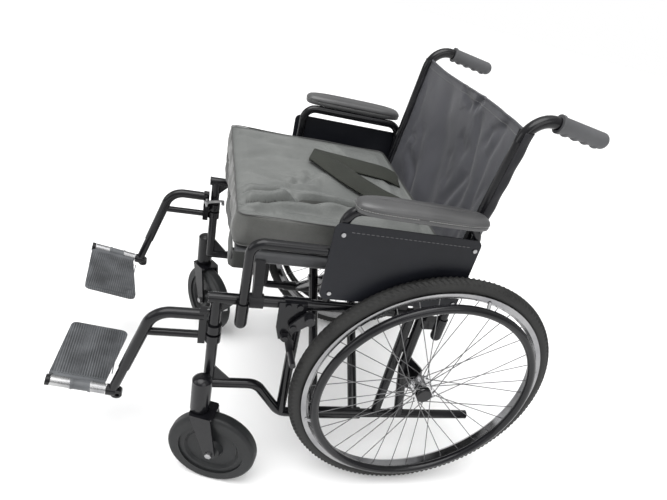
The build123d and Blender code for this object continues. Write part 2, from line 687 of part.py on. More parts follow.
with BuildPart() as brace_a:
    ring_y(X, LOW_Z, 14.5, 0, -238, -105)
    tube([P(-SEAT_RAIL_X, -450, SEAT_RAIL_Z), P(-SEAT_RAIL_X, -58, SEAT_RAIL_Z)], None, TUBE_R)
    for y in (-221, -122):
        tube([P(X, y, LOW_Z), P(-SEAT_RAIL_X, y, SEAT_RAIL_Z)], None, TUBE_R)
    ring_y(-SEAT_RAIL_X, SEAT_RAIL_Z, TUBE_IN, 0, -460, -250, Mode.SUBTRACT)
    ring_y(-SEAT_RAIL_X, SEAT_RAIL_Z, TUBE_IN, 0, -94, -50, Mode.SUBTRACT)
    ring_y(X, LOW_Z, TUBE_R + 0.08, 0, -260, -90, Mode.SUBTRACT)
    ring_y(0, PIVOT_Z, 4.06, 0, -250, -90, Mode.SUBTRACT)

with BuildPart() as brace_b:
    ring_y(-X, LOW_Z, 14.5, 0, -238, -105)
    tube([P(SEAT_RAIL_X, -450, SEAT_RAIL_Z), P(SEAT_RAIL_X, -58, SEAT_RAIL_Z)], None, TUBE_R)
    for y in (-196, -147):
        tube([P(-X, y, LOW_Z), P(SEAT_RAIL_X, y, SEAT_RAIL_Z)], None, TUBE_R)
    ring_y(SEAT_RAIL_X, SEAT_RAIL_Z, TUBE_IN, 0, -460, -250, Mode.SUBTRACT)
    ring_y(SEAT_RAIL_X, SEAT_RAIL_Z, TUBE_IN, 0, -94, -50, Mode.SUBTRACT)
    ring_y(-X, LOW_Z, TUBE_R + 0.08, 0, -260, -90, Mode.SUBTRACT)
    ring_y(0, PIVOT_Z, 4.06, 0, -250, -90, Mode.SUBTRACT)

with BuildPart() as brace_pivot_bolts:
    for y0, y1 in ((-235, -182.4), (-160.6, -108)):
        ring_y(0, PIVOT_Z, 4.0, 0, y0, y1)
        ring_y(0, PIVOT_Z, 7.0, 0, y0, y0 + 2.2)
        ring_y(0, PIVOT_Z, 7.0, 0, y1 - 2.2, y1)

save(brace_a, "brace_a")
save(brace_b, "brace_b")
save(brace_pivot_bolts, "brace_pivot_bolts")

# ---------------------------------------------------------------------------
# Soft parts, as plain closed solids
# ---------------------------------------------------------------------------

SLING_Z = SEAT_RAIL_Z + TUBE_R + 0.4

with BuildPart() as seat_sling:
    block(-252, 252, -446, -62, SLING_Z, SLING_Z + 3)

with BuildPart() as seat_cushion:
    block(-242, 242, -448, -48, SLING_Z + 3.5, 652)
    fillet(seat_cushion.edges().filter_by(Axis.Z), 24)
    fillet(seat_cushion.faces().sort_by(Axis.Z)[-1].edges(), 12)

# back rest: a sheet that leans with the canes
with BuildPart() as back_upholstery:
    with BuildSketch(Plane(origin=(-253, 0, 0), x_dir=(0, 1, 0), z_dir=(1, 0, 0))):
        with BuildLine():
            Polyline(
                (-32 + AX, 566),
                (-18 + AX, 600),
                (10.5 + AX, 882),
                (14.5 + AX, 882),
                (-14 + AX, 600),
                (-28 + AX, 566),
                close=True,
            )
        make_face()
    extrude(amount=506)

with BuildPart() as lap_belt:
    # one wide webbing lying forward over the cushion and folded back
    with BuildSketch(Plane.XY.offset(652.6)):
        with BuildLine():
            Polyline((-152, -12), (-42, -47), (-18, 165), (-116, 165), close=True)
        make_face()
        with BuildLine():
            Polyline((-152, -12), (-42, -47), (150, 84), (100, 160), close=True)
        make_face()
    extrude(amount=3)

save(seat_sling, "seat_sling")
save(seat_cushion, "seat_cushion")
save(back_upholstery, "back_upholstery")
save(lap_belt, "lap_belt")
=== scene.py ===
import bpy, math
import numpy as np
from mathutils import Matrix, Vector


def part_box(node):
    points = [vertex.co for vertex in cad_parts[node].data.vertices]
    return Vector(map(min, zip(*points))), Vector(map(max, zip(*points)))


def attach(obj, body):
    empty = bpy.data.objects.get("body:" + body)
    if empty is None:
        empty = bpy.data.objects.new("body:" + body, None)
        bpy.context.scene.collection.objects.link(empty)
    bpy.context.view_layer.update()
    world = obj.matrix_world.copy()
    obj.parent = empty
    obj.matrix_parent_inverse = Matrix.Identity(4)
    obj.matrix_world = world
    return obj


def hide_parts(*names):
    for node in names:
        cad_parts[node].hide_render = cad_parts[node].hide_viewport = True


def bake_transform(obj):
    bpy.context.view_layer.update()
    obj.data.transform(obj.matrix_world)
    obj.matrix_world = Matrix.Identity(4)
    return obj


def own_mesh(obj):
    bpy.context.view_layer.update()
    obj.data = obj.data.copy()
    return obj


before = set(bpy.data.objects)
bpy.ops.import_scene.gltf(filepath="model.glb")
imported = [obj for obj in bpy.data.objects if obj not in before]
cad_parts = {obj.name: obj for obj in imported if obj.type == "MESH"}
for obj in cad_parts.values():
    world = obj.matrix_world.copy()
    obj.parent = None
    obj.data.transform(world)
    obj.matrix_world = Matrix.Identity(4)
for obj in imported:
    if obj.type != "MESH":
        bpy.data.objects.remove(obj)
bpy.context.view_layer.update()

AX = 0.23746          # y of the rear axle
sc = bpy.context.scene


def Y(y):
    return y + AX


# ------------------------------------------------------------------ materials
def new_mat(name):
    m = bpy.data.materials.new(name)
    m.use_nodes = True
    nt = m.node_tree
    b = next(n for n in nt.nodes if n.type == "BSDF_PRINCIPLED")
    tc = nt.nodes.new("ShaderNodeTexCoord")
    return m, nt, b, tc.outputs["Object"]


def N(nt, kind, **kw):
    n = nt.nodes.new(kind)
    for k, v in kw.items():
        if k in n.inputs:
            n.inputs[k].default_value = v
        else:
            setattr(n, k, v)
    return n


def noise(nt, co, scale, detail=3.0, rough=0.5):
    n = N(nt, "ShaderNodeTexNoise")
    n.inputs["Scale"].default_value = scale
    n.inputs["Detail"].default_value = detail
    n.inputs["Roughness"].default_value = rough
    nt.links.new(co, n.inputs["Vector"])
    return n.outputs["Fac"]


def ramp(nt, fac, stops):
    r = nt.nodes.new("ShaderNodeValToRGB")
    e = r.color_ramp.elements
    while len(e) < len(stops):
        e.new(0.5)
    for el, (p, c) in zip(e, stops):
        el.position = p
        el.color = (*c, 1) if len(c) == 3 else (c[0], c[0], c[0], 1)
    nt.links.new(fac, r.inputs["Fac"])
    return r.outputs["Color"]


def maprange(nt, fac, a, b, c, d):
    r = nt.nodes.new("ShaderNodeMapRange")
    for k, v in zip(("From Min", "From Max", "To Min", "To Max"), (a, b, c, d)):
        r.inputs[k].default_value = v
    nt.links.new(fac, r.inputs["Value"])
    return r.outputs["Result"]


def bump(nt, height, b, strength, dist, prev=None):
    n = nt.nodes.new("ShaderNodeBump")
    n.inputs["Strength"].default_value = strength
    n.inputs["Distance"].default_value = dist
    nt.links.new(height, n.inputs["Height"])
    if prev is not None:
        nt.links.new(prev, n.inputs["Normal"])
    nt.links.new(n.outputs["Normal"], b.inputs["Normal"])
    return n.outputs["Normal"]


def math_node(nt, op, a, b=None, clamp=False):
    n = nt.nodes.new("ShaderNodeMath")
    n.operation = op
    n.use_clamp = clamp
    for i, v in enumerate((a, b)):
        if v is None:
            continue
        if isinstance(v, (int, float)):
            n.inputs[i].default_value = v
        else:
            nt.links.new(v, n.inputs[i])
    return n.outputs[0]


def varied(name, dark, light, r0, r1, scale=9.0, metallic=0.0, coat=0.0, coat_rough=0.1,
           grain=None, grain_depth=0.0002, strength=0.35, spec=0.5, fine=420.0):
    m, nt, b, co = new_mat(name)
    f = noise(nt, co, scale, 5.0, 0.6)
    nt.links.new(ramp(nt, f, [(0.3, dark), (0.72, light)]), b.inputs["Base Color"])
    g = noise(nt, co, fine if grain is None else grain, 4.0, 0.6)
    mix = math_node(nt, "ADD", math_node(nt, "MULTIPLY", f, 0.6), math_node(nt, "MULTIPLY", g, 0.4))
    nt.links.new(maprange(nt, mix, 0.3, 0.7, r0, r1), b.inputs["Roughness"])
    b.inputs["Metallic"].default_value = metallic
    b.inputs["Coat Weight"].default_value = coat
    b.inputs["Coat Roughness"].default_value = coat_rough
    b.inputs["Specular IOR Level"].default_value = spec
    bump(nt, g, b, strength, grain_depth)
    return m


M_BLACK = varied("frame_black_paint", (0.003, 0.003, 0.0035), (0.007, 0.007, 0.009), 0.16, 0.28, coat=0.10, coat_rough=0.08, spec=0.26, grain=300, grain_depth=0.00012, strength=0.2)
M_SADDLE = varied("saddle_nylon", (0.006, 0.006, 0.007), (0.015, 0.015, 0.017), 0.42, 0.58, grain=900, spec=0.25)
M_GRIP = varied("grip_rubber", (0.050, 0.051, 0.054), (0.080, 0.081, 0.085), 0.48, 0.66, grain=1100, grain_depth=0.0003)
M_TYRE = varied("tyre_rubber", (0.009, 0.009, 0.009), (0.024, 0.024, 0.023), 0.50, 0.72, scale=14, spec=0.3, grain=900, grain_depth=0.0004)
M_CHROME = varied("chrome", (0.19, 0.19, 0.20), (0.36, 0.36, 0.36), 0.08, 0.24, metallic=1.0, grain=200, grain_depth=0.00005, strength=0.1)
M_HUB = varied("hub_chrome", (0.42, 0.42, 0.43), (0.62, 0.62, 0.62), 0.10, 0.24, metallic=1.0, grain=200, grain_depth=0.00005, strength=0.1)
M_STEEL = varied("zinc_steel", (0.22, 0.22, 0.23), (0.42, 0.42, 0.42), 0.22, 0.42, metallic=1.0, scale=60, grain=700, grain_depth=0.0001, strength=0.3)
M_SPOKE = varied("spoke_steel", (0.10, 0.10, 0.105), (0.22, 0.22, 0.22), 0.25, 0.42, metallic=1.0, scale=40)
M_CASTER = varied("caster_rubber", (0.008, 0.0085, 0.009), (0.019, 0.020, 0.021), 0.40, 0.58, scale=18, spec=0.25, grain=700, grain_depth=0.0003)
M_CHUB = varied("caster_hub_moulding", (0.006, 0.0065, 0.007), (0.014, 0.015, 0.016), 0.35, 0.5, grain=900, spec=0.25)
M_CAP = varied("cap_plastic", (0.005, 0.005, 0.006), (0.013, 0.013, 0.014), 0.28, 0.4, grain=800, spec=0.3)
M_BRAKE = varied("brake_black", (0.005, 0.005, 0.006), (0.014, 0.014, 0.016), 0.22, 0.38, grain=700, coat=0.15, spec=0.3)
M_FOOT = varied("footplate_moulding", (0.115, 0.12, 0.125), (0.175, 0.18, 0.186), 0.38, 0.55, scale=22, grain=900, grain_depth=0.0002)
M_PANEL = varied("skirt_panel", (0.005, 0.0055, 0.008), (0.011, 0.012, 0.016), 0.36, 0.48, scale=5, spec=0.24, grain=1300, grain_depth=0.0002, strength=0.35)


def vinyl():
    m, nt, b, co = new_mat("arm_pad_skin")
    f = noise(nt, co, 12, 4)
    nt.links.new(ramp(nt, f, [(0.3, (0.038, 0.038, 0.039)), (0.7, (0.058, 0.058, 0.059))]), b.inputs["Base Color"])
    v = N(nt, "ShaderNodeTexVoronoi")
    v.inputs["Scale"].default_value = 650
    nt.links.new(co, v.inputs["Vector"])
    nt.links.new(maprange(nt, f, 0.3, 0.7, 0.36, 0.46), b.inputs["Roughness"])
    b.inputs["Specular IOR Level"].default_value = 0.6
    b.inputs["Coat Weight"].default_value = 0.10
    b.inputs["Coat Roughness"].default_value = 0.2
    bump(nt, v.outputs["Distance"], b, 0.25, 0.0003)
    return m


def woven(name, dark, light, pitch, rough=(0.5, 0.68), sheen=0.25, twill=False, blotch=7.0, depth=0.00025, spec=0.5):
    """Plain or twill weave: two crossed thread waves in object space."""
    m, nt, b, co = new_mat(name)
    sep = nt.nodes.new("ShaderNodeSeparateXYZ")
    nt.links.new(co, sep.inputs[0])
    x, y, z = sep.outputs
    k = 2 * math.pi / pitch
    u = math_node(nt, "MULTIPLY", x, k)
    w = math_node(nt, "MULTIPLY", math_node(nt, "ADD", y, z), k)
    if twill:
        # herringbone: the diagonal changes sides every few threads
        tri = math_node(nt, "PINGPONG", x, pitch * 3.0)
        w = math_node(nt, "MULTIPLY", math_node(nt, "ADD", math_node(nt, "ADD", y, z), math_node(nt, "MULTIPLY", tri, 1.0)), k)
    a = math_node(nt, "SINE", u)
    c = math_node(nt, "SINE", w)
    thread = math_node(nt, "MULTIPLY", a, c) if not twill else math_node(nt, "ADD", math_node(nt, "MULTIPLY", a, 0.25), c)
    t01 = maprange(nt, thread, -1, 1, 0, 1)
    f = noise(nt, co, blotch, 5.0, 0.62)
    g = noise(nt, co, 260, 3.0, 0.6)
    mixf = math_node(nt, "ADD", math_node(nt, "MULTIPLY", f, 0.62), math_node(nt, "ADD", math_node(nt, "MULTIPLY", t01, 0.2), math_node(nt, "MULTIPLY", g, 0.18)))
    nt.links.new(ramp(nt, mixf, [(0.30, dark), (0.68, light)]), b.inputs["Base Color"])
    nt.links.new(maprange(nt, mixf, 0.3, 0.7, rough[0], rough[1]), b.inputs["Roughness"])
    b.inputs["Sheen Weight"].default_value = sheen
    b.inputs["Sheen Roughness"].default_value = 0.45
    b.inputs["Specular IOR Level"].default_value = spec
    n1 = bump(nt, noise(nt, co, 38, 4.0, 0.55), b, 0.35, 0.0022)
    bump(nt, t01, b, 0.55, depth, n1)
    return m


M_PAD = vinyl()
M_SEAT = woven("seat_nylon", (0.058, 0.063, 0.060), (0.150, 0.156, 0.149), 0.0016, rough=(0.38, 0.54), sheen=0.18, spec=0.5)
# darker copy of the seat cloth for the cushion's side walls: painted shade
M_SEAT_PAINTED_SHADE = woven("seat_nylon_painted_shade", (0.032, 0.033, 0.031), (0.092, 0.093, 0.087), 0.0016, rough=(0.44, 0.6), sheen=0.15, spec=0.45)
M_BACK = woven("back_nylon", (0.026, 0.027, 0.033), (0.062, 0.063, 0.073), 0.0018, rough=(0.40, 0.55), sheen=0.14, spec=0.4, blotch=5.0)
M_FLAP = woven("flap_nylon", (0.016, 0.017, 0.016), (0.040, 0.042, 0.039), 0.0016, rough=(0.50, 0.66), sheen=0.05, spec=0.3)
# near-black sleeve cloth: partly the black outer shell, partly painted shade on the sides of the canes
M_SLEEVE = woven("sleeve_nylon", (0.006, 0.006, 0.008), (0.016, 0.016, 0.019), 0.0018, rough=(0.45, 0.6), sheen=0.03, spec=0.25)
M_SLING = woven("sling_nylon", (0.020, 0.021, 0.023), (0.045, 0.046, 0.050), 0.0016, rough=(0.45, 0.6))
M_WEB = woven("belt_webbing", (0.010, 0.011, 0.008), (0.030, 0.033, 0.026), 0.0022, rough=(0.55, 0.75), sheen=0.04, spec=0.22, twill=True, depth=0.0005)
M_STRAP = woven("herringbone_strap", (0.05, 0.05, 0.048), (0.36, 0.36, 0.34), 0.0050, rough=(0.5, 0.7), twill=True, depth=0.0006)
M_PIPE = varied("piping", (0.045, 0.046, 0.045), (0.08, 0.08, 0.078), 0.4, 0.55)
M_LINE = varied("panel_thread", (0.06, 0.06, 0.065), (0.11, 0.11, 0.115), 0.5, 0.7)
M_THREAD = varied("thread", (0.20, 0.20, 0.20), (0.32, 0.32, 0.31), 0.5, 0.7)


def foot_material():
    """Grey moulding with a bright hinge barrel, told apart by place on the part."""
    m, nt, b, co = new_mat("footplate_two_tone")
    sep = nt.nodes.new("ShaderNodeSeparateXYZ")
    nt.links.new(co, sep.inputs[0])
    ax = math_node(nt, "ABSOLUTE", sep.outputs[0])
    yv = sep.outputs[1]
    lug = math_node(nt, "MULTIPLY", math_node(nt, "GREATER_THAN", yv, -0.4955), math_node(nt, "LESS_THAN", yv, -0.4595))
    mask = math_node(nt, "MULTIPLY", math_node(nt, "GREATER_THAN", ax, 0.2512), math_node(nt, "SUBTRACT", 1.0, lug))
    f = noise(nt, co, 22, 4)
    g = noise(nt, co, 800, 3)
    rib = math_node(nt, "SINE", math_node(nt, "MULTIPLY", yv, 2 * math.pi / 0.0046))
    inner = math_node(nt, "LESS_THAN", ax, 0.238)
    rib_relief_and_shade = math_node(nt, "MULTIPLY", maprange(nt, rib, -1, 1, 0, 1), inner)
    # the rib grooves are also darkened in the colour: painted shade in the grooves
    tone = math_node(nt, "SUBTRACT", f, math_node(nt, "MULTIPLY", rib_relief_and_shade, 0.32))
    grey = ramp(nt, tone, [(0.12, (0.030, 0.032, 0.035)), (0.66, (0.118, 0.124, 0.132))])
    met = ramp(nt, f, [(0.3, (0.22, 0.22, 0.23)), (0.7, (0.42, 0.42, 0.42))])
    mx = nt.nodes.new("ShaderNodeMix")
    mx.data_type = "RGBA"
    nt.links.new(mask, mx.inputs["Factor"])
    nt.links.new(grey, mx.inputs[6])
    nt.links.new(met, mx.inputs[7])
    nt.links.new(mx.outputs[2], b.inputs["Base Color"])
    nt.links.new(mask, b.inputs["Metallic"])
    nt.links.new(math_node(nt, "SUBTRACT", maprange(nt, g, 0.3, 0.7, 0.40, 0.56), math_node(nt, "MULTIPLY", mask, 0.2)), b.inputs["Roughness"])
    n1 = bump(nt, g, b, 0.3, 0.0002)
    bump(nt, math_node(nt, "SUBTRACT", 1.0, rib_relief_and_shade), b, 0.6, 0.0008, n1)
    return m


M_FOOT2 = foot_material()

NODE_MAT = {
    "side_frame": M_BLACK, "seat_saddles": M_SADDLE, "push_grip": M_GRIP, "rim": M_CHROME,
    "hub": M_HUB, "hub_cap": M_CAP, "spokes": M_SPOKE, "handrim": M_BLACK,
    "handrim_brackets": M_STEEL, "rear_axle": M_STEEL, "caster_fork": M_BLACK,
    "caster_tyre": M_CASTER, "caster_hub": M_CHUB, "caster_axle": M_STEEL,
    "hanger": M_BLACK, "hanger_lever": M_STEEL, "leg_tube": M_BLACK, "footplate": M_FOOT2,
    "brake_bracket": M_BLACK, "brake_lever": M_BRAKE, "brake_shoe": M_BRAKE,
    "arm_frame": M_BLACK, "arm_panel": M_PANEL, "arm_screws": M_STEEL, "brace_a": M_BLACK,
    "brace_b": M_BLACK, "brace_pivot_bolts": M_STEEL,
}
for name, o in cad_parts.items():
    base = name[:-5] if name.endswith("_left") else name[:-6] if name.endswith("_right") else name
    m = NODE_MAT.get(base)
    if m is not None:
        if not o.material_slots:
            o.data.materials.append(m)
        for s in o.material_slots:
            s.material = m

# ------------------------------------------------------------------- helpers
def mesh_obj(name, verts, faces, mat, smooth=True):
    me = bpy.data.meshes.new(name)
    me.from_pydata([tuple(map(float, v)) for v in verts], [], [tuple(map(int, f)) for f in faces])
    me.update()
    me.validate()
    o = bpy.data.objects.new(name, me)
    sc.collection.objects.link(o)
    me.materials.append(mat)
    if smooth:
        me.polygons.foreach_set("use_smooth", [True] * len(me.polygons))
    return o


def grid(name, pts, mat, close_u=False, close_v=False, smooth=True):
    """pts: array (nu, nv, 3)."""
    nu, nv, _ = pts.shape
    f = []
    for i in range(nu if close_u else nu - 1):
        i2 = (i + 1) % nu
        for j in range(nv if close_v else nv - 1):
            j2 = (j + 1) % nv
            f.append((i * nv + j, i2 * nv + j, i2 * nv + j2, i * nv + j2))
    return mesh_obj(name, pts.reshape(-1, 3), f, mat, smooth)


def solidify(o, t, offset=0.0):
    m = o.modifiers.new("thick", "SOLIDIFY")
    m.thickness = t
    m.offset = offset
    return o


def apply_mods(o):
    dg = bpy.context.evaluated_depsgraph_get()
    me = bpy.data.meshes.new_from_object(o.evaluated_get(dg))
    o.modifiers.clear()
    o.data = me
    return o


def tube_along(name, pts, r, mat, n=10, closed=False, cap=True):
    """Round tube through points, with parallel-transported rings."""
    P = np.array(pts, float)
    k = len(P)
    if closed:
        T = np.roll(P, -1, 0) - np.roll(P, 1, 0)
    else:
        T = np.gradient(P, axis=0)
    T /= np.linalg.norm(T, axis=1)[:, None]
    up = np.array([0.0, 0.0, 1.0])
    if abs(T[0] @ up) > 0.9:
        up = np.array([1.0, 0.0, 0.0])
    a = np.cross(T[0], up); a /= np.linalg.norm(a)
    rings = []
    rr = np.broadcast_to(np.asarray(r, float), (k,))
    for i in range(k):
        a = a - (a @ T[i]) * T[i]; a /= np.linalg.norm(a)
        b = np.cross(T[i], a)
        t = np.linspace(0, 2 * np.pi, n, endpoint=False)
        rings.append(P[i] + rr[i] * (np.cos(t)[:, None] * a + np.sin(t)[:, None] * b))
    pts3 = np.array(rings)
    o = grid(name, pts3, mat, close_u=closed, close_v=True)
    if cap and not closed:
        import bmesh
        bm = bmesh.new(); bm.from_mesh(o.data); bm.verts.ensure_lookup_table()
        bm.faces.new([bm.verts[j] for j in range(n)][::-1])
        bm.faces.new([bm.verts[(k - 1) * n + j] for j in range(n)])
        bm.to_mesh(o.data); bm.free()
    return o


def hnoise(x, y, s):
    """Cheap smooth repeatable noise, about -1 to 1."""
    return (np.sin(x * 2.1 + s) * np.cos(y * 1.7 - s * 0.7) + np.sin(x * 0.9 - y * 1.3 + 2.3 * s)
            + 0.5 * np.sin(2.9 * x + 2.2 * y + 0.4 * s)) / 2.5


def valley(x, y, pts, depth, width, ridge=0.6, taper=0.12, wob=0.0):
    """Crease along a polyline: a groove with raised lips that fades at its ends."""
    P = np.array(pts, float)
    L = np.concatenate([[0], np.cumsum(np.linalg.norm(np.diff(P, axis=0), axis=1))])
    best = np.full(x.shape, 9.0)
    t = np.zeros(x.shape)
    for i in range(len(P) - 1):
        a, b = P[i], P[i + 1]
        ab = b - a
        u = ((x - a[0]) * ab[0] + (y - a[1]) * ab[1]) / (ab @ ab)
        uc = np.clip(u, 0, 1)
        d = np.hypot(x - a[0] - uc * ab[0], y - a[1] - uc * ab[1])
        k = d < best
        best = np.where(k, d, best)
        t = np.where(k, (L[i] + uc * np.linalg.norm(ab)) / L[-1], t)
    d = best
    w = np.clip(t / taper, 0, 1) * np.clip((1 - t) / taper, 0, 1)
    w = w * w * (3 - 2 * w)
    width = width * (1 + wob * np.sin(t * 17))
    return depth * w * (-np.exp(-(d / width) ** 2) + ridge * np.exp(-((d - 2.1 * width) / (1.1 * width)) ** 2))


# ---------------------------------------------------------------- rear tyres
def tyre(side):
    g = 1 if side == "left" else -1
    nt_, ns = 900, 36
    th = np.linspace(0, 2 * np.pi, nt_, endpoint=False)
    ph = np.linspace(0, 2 * np.pi, ns, endpoint=False)
    T, F = np.meshgrid(th, ph, indexing="ij")
    R0, r0, cx = 0.305 - 0.01725, 0.01725, 0.3235
    # F = 0 faces outward from the axle (the crown)
    a = np.where(F > np.pi, F - 2 * np.pi, F)
    cyc = 150
    crown = np.clip(1 - np.abs(a) / 0.95, 0, 1)
    zig = np.abs(((T * cyc / (2 * np.pi) + np.abs(a) * 1.1) % 1.0) - 0.5) * 2
    ridge = np.clip((zig - 0.45) * 5, 0, 1) * (np.abs(a) > 0.14)
    centre = (np.abs(a) <= 0.14) * 1.0
    tread = np.maximum(ridge, centre) * (crown > 0)
    side_rib = np.exp(-((np.abs(a) - 1.25) / 0.06) ** 2) * 0.5
    r = r0 - 0.0024 + 0.0024 * tread + 0.0008 * side_rib
    x = cx + r * np.sin(a)
    rad = R0 + r * np.cos(a)
    pts = np.stack([g * x, Y(rad * np.cos(T)), 0.305 + rad * np.sin(T)], -1)
    if g < 0:
        pts = pts[:, ::-1]
    o = grid("tyre_tread_" + side, pts, M_TYRE, True, True)
    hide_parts("tyre_" + side)
    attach(o, side + "_wheel")
    v, f = [], []
    return o


for s in ("left", "right"):
    tyre(s)


# ------------------------------------------------------------------ arm pads
def arm_pad(side):
    g = 1 if side == "left" else -1
    n, m = 96, 44
    cx, cy, hx, hy, z0, z1 = 0.314, Y(-0.134), 0.0288, 0.1283, 0.7162, 0.7415
    t = np.linspace(0, 2 * np.pi, n, endpoint=False)
    # plan outline: stadium, blunter at the front
    def outline(scale):
        e = 2 / 3.2
        ox = hx * np.sign(np.cos(t)) * np.abs(np.cos(t)) ** e
        oy = hy * np.sign(np.sin(t)) * np.abs(np.sin(t)) ** (2 / 5.0)
        return ox * scale[0], oy * scale[1]
    prof = []
    # (inset in m, height)
    for u in np.linspace(0, 1, 8):
        prof.append((0.030 * (1 - u) ** 1.0 * 0.95 + 0.0025, z0))
    prof += [(0.0012, z0 + 0.0012), (0.0006, z0 + 0.004), (0.0006, z0 + 0.0075), (0.0022, z0 + 0.0085), (0.0022, z0 + 0.0095), (0.0002, z0 + 0.0105)]
    for u in np.linspace(0, 1, 22):
        ang = u * np.pi / 2
        prof.append((0.0270 * (1 - max(np.cos(ang), 0.0) ** 0.80), z0 + 0.0115 + (z1 - z0 - 0.0115) * np.sin(ang) ** 0.80))
    rings = []
    for ins, z in prof:
        ox, oy = outline((max(1 - ins / hx, 0.02), max(1 - ins / hy, 0.02)))
        zz = np.full(n, z)
        # the top falls away gently towards both ends
        if z > z0 + 0.012:
            zz = z - 0.0035 * (np.abs(oy) / hy) ** 3
        rings.append(np.stack([g * (cx + ox), cy + oy, zz], -1))
    P = np.array(rings)
    if g > 0:
        P = P[:, ::-1]
    o = grid("arm_pad_skin_" + side, P, M_PAD, False, True)
    import bmesh
    bm = bmesh.new(); bm.from_mesh(o.data); bm.verts.ensure_lookup_table()
    k = len(prof)
    a = bm.faces.new([bm.verts[j] for j in range(n)])
    b = bm.faces.new([bm.verts[(k - 1) * n + j] for j in range(n)][::-1])
    bmesh.ops.recalc_face_normals(bm, faces=bm.faces[:])
    bm.to_mesh(o.data); bm.free()
    sub = o.modifiers.new("s", "SUBSURF"); sub.levels = sub.render_levels = 1
    apply_mods(o)
    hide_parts("arm_pad_" + side)
    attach(o, side + "_arm")
    return o


def pad_stitch(side):
    g = 1 if side == "left" else -1
    cx, cy, hx, hy, z = 0.314, Y(-0.134), 0.0288 - 0.0007, 0.1283 - 0.0007, 0.7162 + 0.0092
    t = np.linspace(0, 2 * np.pi, 1400, endpoint=False)
    ox = hx * np.sign(np.cos(t)) * np.abs(np.cos(t)) ** (2 / 3.2)
    oy = hy * np.sign(np.sin(t)) * np.abs(np.sin(t)) ** (2 / 5.0)
    q = np.stack([cx + ox, cy + oy], -1)
    d = np.concatenate([[0], np.cumsum(np.linalg.norm(np.diff(q, axis=0), axis=1))])
    n = int(d[-1] / 0.0046)
    v, f = [], []
    for k in range(n):
        a, b_ = k * 0.0046, k * 0.0046 + 0.0032
        p0 = [np.interp(a, d, q[:, i]) for i in (0, 1)]
        p1 = [np.interp(b_, d, q[:, i]) for i in (0, 1)]
        tx, ty = p1[0] - p0[0], p1[1] - p0[1]
        L = math.hypot(tx, ty) or 1
        nx_, ny_ = ty / L * 0.00045, -tx / L * 0.00045
        o = len(v)
        for px, py in (p0, p1):
            for sx, dz in ((1, 0.0005), (1, -0.0005), (-1, -0.0005), (-1, 0.0005)):
                v.append((g * (px + sx * nx_), py + sx * ny_, z + dz))
        f += [(o, o + 1, o + 5, o + 4), (o + 1, o + 2, o + 6, o + 5), (o + 2, o + 3, o + 7, o + 6), (o + 3, o, o + 4, o + 7), (o + 3, o + 2, o + 1, o), (o + 4, o + 5, o + 6, o + 7)]
    ob = mesh_obj("arm_pad_stitch_" + side, v, f, M_THREAD, False)
    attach(ob, side + "_arm")


for s in ("left", "right"):
    arm_pad(s)
    pad_stitch(s)


# ------------------------------------------------------------- seat cushion
SLING_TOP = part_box("seat_sling")[1][2]
CU_LO, CU_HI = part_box("seat_cushion")


